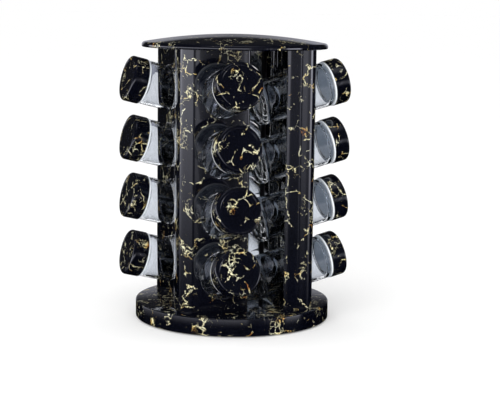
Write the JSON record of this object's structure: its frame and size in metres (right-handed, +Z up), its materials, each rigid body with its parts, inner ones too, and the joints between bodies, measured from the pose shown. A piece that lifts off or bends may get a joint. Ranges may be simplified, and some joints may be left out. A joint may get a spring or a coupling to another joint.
{
  "type": "spice carousel",
  "caption": "Round rotating spice rack: a pinwheel tower of bent panels with tilted glass jars in round holes, on a ball-bearing base.",
  "frame": {"origin": "centre of the underside of the feet, on the spin axis", "axes": "+Z up along the spin axis; the front column of jars faces -Y"},
  "size_m": [0.2046, 0.2046, 0.2729],
  "materials": {
    "printed_moulding": "gloss black with gold crackle print",
    "printed_sheet": "gloss black lacquer with gold crackle print",
    "printed_cap": "gloss black with gold crackle print",
    "jar_glass": "clear, faintly green",
    "shaker_plastic": "white, satin",
    "black_steel": "black oxide",
    "turntable_steel": "zinc plated",
    "spring_steel": "oiled",
    "ball_steel": "polished",
    "cage_plastic": "natural",
    "rubber": "matt black"
  },
  "bodies": {
    "stand": {"turntable_plate": "turntable_steel", "rubber_feet": "rubber", "stud_clip": "spring_steel"},
    "ball_ring": {"ball_cage": "cage_plastic", "bearing_balls": "ball_steel"},
    "carousel": {"base_disc": "printed_moulding", "lid": "printed_moulding", "tie_bolts": "black_steel", "front_panel": "printed_sheet", "right_panel": "printed_sheet", "back_panel": "printed_sheet", "left_panel": "printed_sheet"},
    "jar_front_1": {"front_1_jar": "jar_glass", "front_1_shaker": "shaker_plastic"},
    "cap_front_1": {"front_1_cap": "printed_cap"},
    "jar_front_2": {"front_2_jar": "jar_glass", "front_2_shaker": "shaker_plastic"},
    "cap_front_2": {"front_2_cap": "printed_cap"},
    "jar_front_3": {"front_3_jar": "jar_glass", "front_3_shaker": "shaker_plastic"},
    "cap_front_3": {"front_3_cap": "printed_cap"},
    "jar_front_4": {"front_4_jar": "jar_glass", "front_4_shaker": "shaker_plastic"},
    "cap_front_4": {"front_4_cap": "printed_cap"},
    "jar_right_1": {"right_1_jar": "jar_glass", "right_1_shaker": "shaker_plastic"},
    "cap_right_1": {"right_1_cap": "printed_cap"},
    "jar_right_2": {"right_2_jar": "jar_glass", "right_2_shaker": "shaker_plastic"},
    "cap_right_2": {"right_2_cap": "printed_cap"},
    "jar_right_3": {"right_3_jar": "jar_glass", "right_3_shaker": "shaker_plastic"},
    "cap_right_3": {"right_3_cap": "printed_cap"},
    "jar_right_4": {"right_4_jar": "jar_glass", "right_4_shaker": "shaker_plastic"},
    "cap_right_4": {"right_4_cap": "printed_cap"},
    "jar_back_1": {"back_1_jar": "jar_glass", "back_1_shaker": "shaker_plastic"},
    "cap_back_1": {"back_1_cap": "printed_cap"},
    "jar_back_2": {"back_2_jar": "jar_glass", "back_2_shaker": "shaker_plastic"},
    "cap_back_2": {"back_2_cap": "printed_cap"},
    "jar_back_3": {"back_3_jar": "jar_glass", "back_3_shaker": "shaker_plastic"},
    "cap_back_3": {"back_3_cap": "printed_cap"},
    "jar_back_4": {"back_4_jar": "jar_glass", "back_4_shaker": "shaker_plastic"},
    "cap_back_4": {"back_4_cap": "printed_cap"},
    "jar_left_1": {"left_1_jar": "jar_glass", "left_1_shaker": "shaker_plastic"},
    "cap_left_1": {"left_1_cap": "printed_cap"},
    "jar_left_2": {"left_2_jar": "jar_glass", "left_2_shaker": "shaker_plastic"},
    "cap_left_2": {"left_2_cap": "printed_cap"},
    "jar_left_3": {"left_3_jar": "jar_glass", "left_3_shaker": "shaker_plastic"},
    "cap_left_3": {"left_3_cap": "printed_cap"},
    "jar_left_4": {"left_4_jar": "jar_glass", "left_4_shaker": "shaker_plastic"},
    "cap_left_4": {"left_4_cap": "printed_cap"}
  },
  "joints": [
    {"name": "carousel_spin", "type": "hinge", "parent": "stand", "child": "carousel", "pos_m": [0, 0, 0], "axis": [0, 0, 1], "continuous": true},
    {"name": "ball_ring_roll", "type": "hinge", "parent": "stand", "child": "ball_ring", "pos_m": [0, 0, 0], "axis": [0, 0, 1], "continuous": true},
    {"name": "jar_front_1_out", "type": "slide", "parent": "carousel", "child": "jar_front_1", "axis": [0, -0.9703, 0.2419], "range_m": [0, 0.1]},
    {"name": "cap_front_1_off", "type": "slide", "parent": "jar_front_1", "child": "cap_front_1", "axis": [0, -0.9703, 0.2419], "range_m": [0, 0.03]},
    {"name": "jar_front_2_out", "type": "slide", "parent": "carousel", "child": "jar_front_2", "axis": [0, -0.9703, 0.2419], "range_m": [0, 0.1]},
    {"name": "cap_front_2_off", "type": "slide", "parent": "jar_front_2", "child": "cap_front_2", "axis": [0, -0.9703, 0.2419], "range_m": [0, 0.03]},
    {"name": "jar_front_3_out", "type": "slide", "parent": "carousel", "child": "jar_front_3", "axis": [0, -0.9703, 0.2419], "range_m": [0, 0.1]},
    {"name": "cap_front_3_off", "type": "slide", "parent": "jar_front_3", "child": "cap_front_3", "axis": [0, -0.9703, 0.2419], "range_m": [0, 0.03]},
    {"name": "jar_front_4_out", "type": "slide", "parent": "carousel", "child": "jar_front_4", "axis": [0, -0.9703, 0.2419], "range_m": [0, 0.1]},
    {"name": "cap_front_4_off", "type": "slide", "parent": "jar_front_4", "child": "cap_front_4", "axis": [0, -0.9703, 0.2419], "range_m": [0, 0.03]},
    {"name": "jar_right_1_out", "type": "slide", "parent": "carousel", "child": "jar_right_1", "axis": [0.9703, 0, 0.2419], "range_m": [0, 0.1]},
    {"name": "cap_right_1_off", "type": "slide", "parent": "jar_right_1", "child": "cap_right_1", "axis": [0.9703, 0, 0.2419], "range_m": [0, 0.03]},
    {"name": "jar_right_2_out", "type": "slide", "parent": "carousel", "child": "jar_right_2", "axis": [0.9703, 0, 0.2419], "range_m": [0, 0.1]},
    {"name": "cap_right_2_off", "type": "slide", "parent": "jar_right_2", "child": "cap_right_2", "axis": [0.9703, 0, 0.2419], "range_m": [0, 0.03]},
    {"name": "jar_right_3_out", "type": "slide", "parent": "carousel", "child": "jar_right_3", "axis": [0.9703, 0, 0.2419], "range_m": [0, 0.1]},
    {"name": "cap_right_3_off", "type": "slide", "parent": "jar_right_3", "child": "cap_right_3", "axis": [0.9703, 0, 0.2419], "range_m": [0, 0.03]},
    {"name": "jar_right_4_out", "type": "slide", "parent": "carousel", "child": "jar_right_4", "axis": [0.9703, 0, 0.2419], "range_m": [0, 0.1]},
    {"name": "cap_right_4_off", "type": "slide", "parent": "jar_right_4", "child": "cap_right_4", "axis": [0.9703, 0, 0.2419], "range_m": [0, 0.03]},
    {"name": "jar_back_1_out", "type": "slide", "parent": "carousel", "child": "jar_back_1", "axis": [0, 0.9703, 0.2419], "range_m": [0, 0.1]},
    {"name": "cap_back_1_off", "type": "slide", "parent": "jar_back_1", "child": "cap_back_1", "axis": [0, 0.9703, 0.2419], "range_m": [0, 0.03]},
    {"name": "jar_back_2_out", "type": "slide", "parent": "carousel", "child": "jar_back_2", "axis": [0, 0.9703, 0.2419], "range_m": [0, 0.1]},
    {"name": "cap_back_2_off", "type": "slide", "parent": "jar_back_2", "child": "cap_back_2", "axis": [0, 0.9703, 0.2419], "range_m": [0, 0.03]},
    {"name": "jar_back_3_out", "type": "slide", "parent": "carousel", "child": "jar_back_3", "axis": [0, 0.9703, 0.2419], "range_m": [0, 0.1]},
    {"name": "cap_back_3_off", "type": "slide", "parent": "jar_back_3", "child": "cap_back_3", "axis": [0, 0.9703, 0.2419], "range_m": [0, 0.03]},
    {"name": "jar_back_4_out", "type": "slide", "parent": "carousel", "child": "jar_back_4", "axis": [0, 0.9703, 0.2419], "range_m": [0, 0.1]},
    {"name": "cap_back_4_off", "type": "slide", "parent": "jar_back_4", "child": "cap_back_4", "axis": [0, 0.9703, 0.2419], "range_m": [0, 0.03]},
    {"name": "jar_left_1_out", "type": "slide", "parent": "carousel", "child": "jar_left_1", "axis": [-0.9703, 0, 0.2419], "range_m": [0, 0.1]},
    {"name": "cap_left_1_off", "type": "slide", "parent": "jar_left_1", "child": "cap_left_1", "axis": [-0.9703, 0, 0.2419], "range_m": [0, 0.03]},
    {"name": "jar_left_2_out", "type": "slide", "parent": "carousel", "child": "jar_left_2", "axis": [-0.9703, 0, 0.2419], "range_m": [0, 0.1]},
    {"name": "cap_left_2_off", "type": "slide", "parent": "jar_left_2", "child": "cap_left_2", "axis": [-0.9703, 0, 0.2419], "range_m": [0, 0.03]},
    {"name": "jar_left_3_out", "type": "slide", "parent": "carousel", "child": "jar_left_3", "axis": [-0.9703, 0, 0.2419], "range_m": [0, 0.1]},
    {"name": "cap_left_3_off", "type": "slide", "parent": "jar_left_3", "child": "cap_left_3", "axis": [-0.9703, 0, 0.2419], "range_m": [0, 0.03]},
    {"name": "jar_left_4_out", "type": "slide", "parent": "carousel", "child": "jar_left_4", "axis": [-0.9703, 0, 0.2419], "range_m": [0, 0.1]},
    {"name": "cap_left_4_off", "type": "slide", "parent": "jar_left_4", "child": "cap_left_4", "axis": [-0.9703, 0, 0.2419], "range_m": [0, 0.03]}
  ],
  "couplings": [
    {"joint": "ball_ring_roll", "follows": "carousel_spin", "ratio": 0.5}
  ]
}
